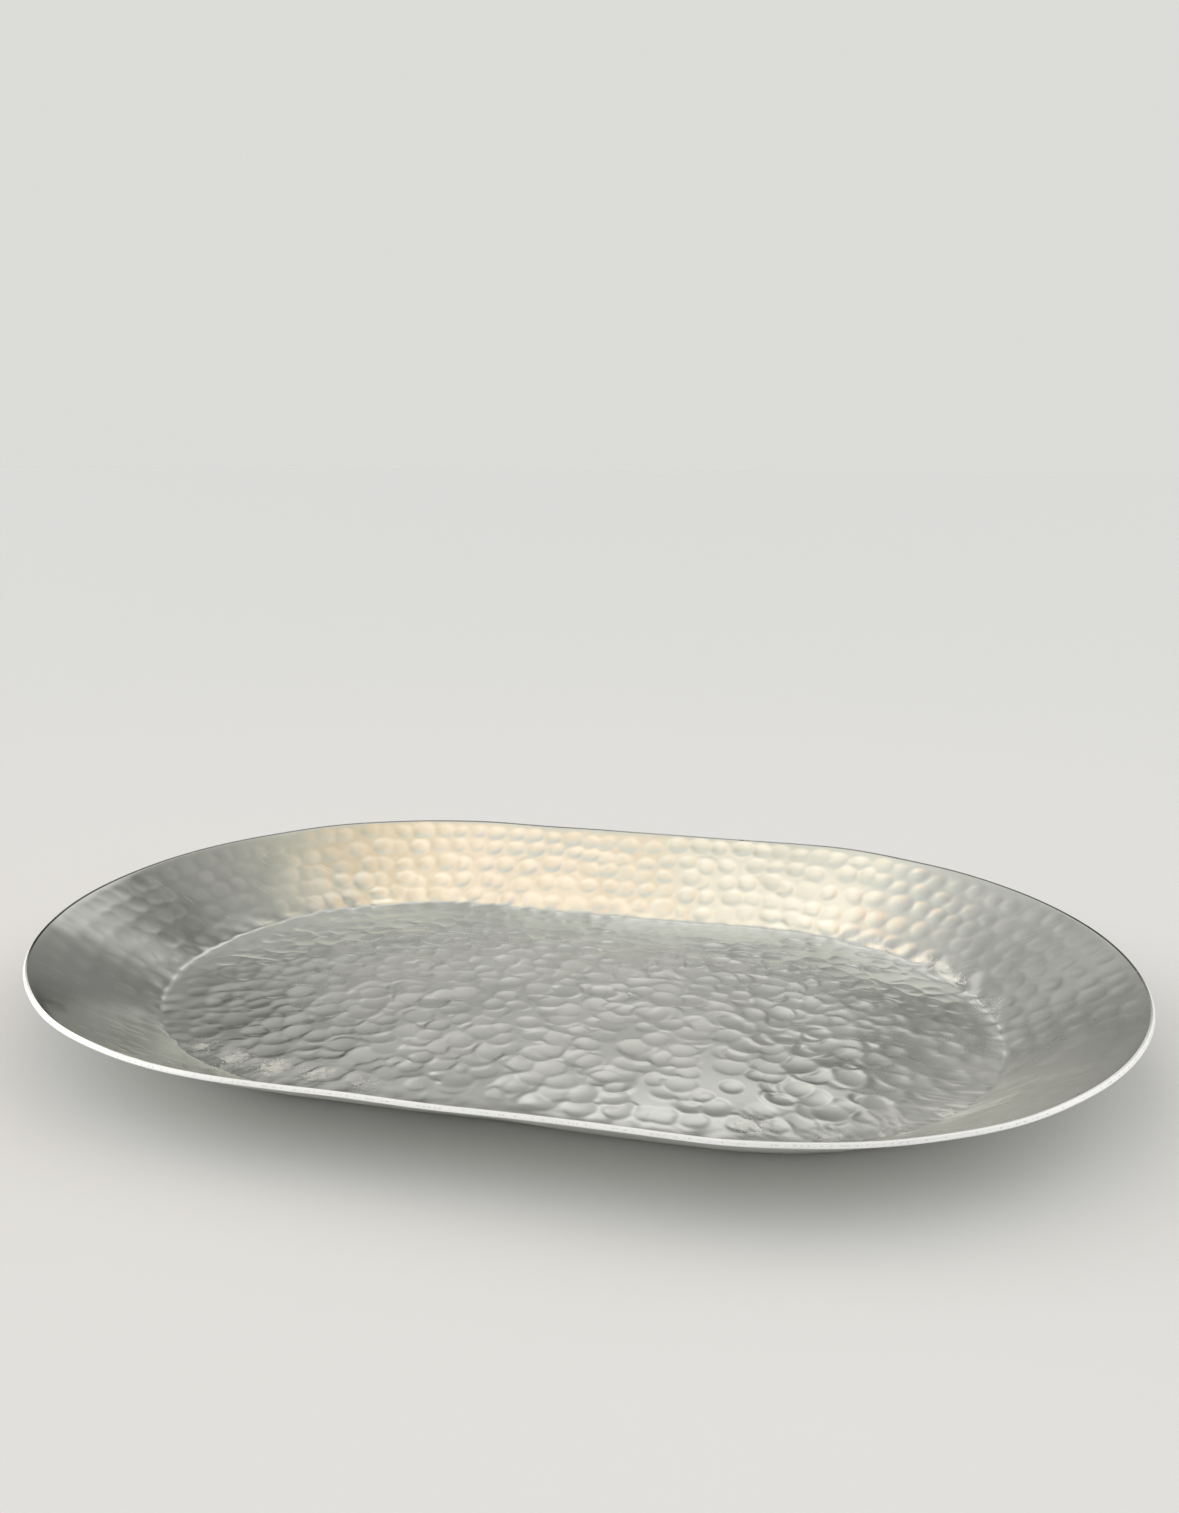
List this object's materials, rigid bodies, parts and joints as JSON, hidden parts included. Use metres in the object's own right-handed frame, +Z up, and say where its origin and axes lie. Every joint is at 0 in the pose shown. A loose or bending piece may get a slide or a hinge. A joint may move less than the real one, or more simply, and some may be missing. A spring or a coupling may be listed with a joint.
{
  "type": "serving tray",
  "caption": "Obround hammered aluminium serving tray with a flat base and a flared wall, formed from one sheet and cut square at the rim.",
  "frame": {"origin": "middle of the flat underside, where the tray rests on the table", "axes": "+X along the tray's length, +Y across its width, +Z up out of the open side"},
  "size_m": [0.45, 0.3, 0.032],
  "materials": {
    "hammered_aluminium": "hand-hammered satin aluminium with a bright cut edge"
  },
  "bodies": {
    "root": {"tray_body": "hammered_aluminium"}
  },
  "joints": []
}
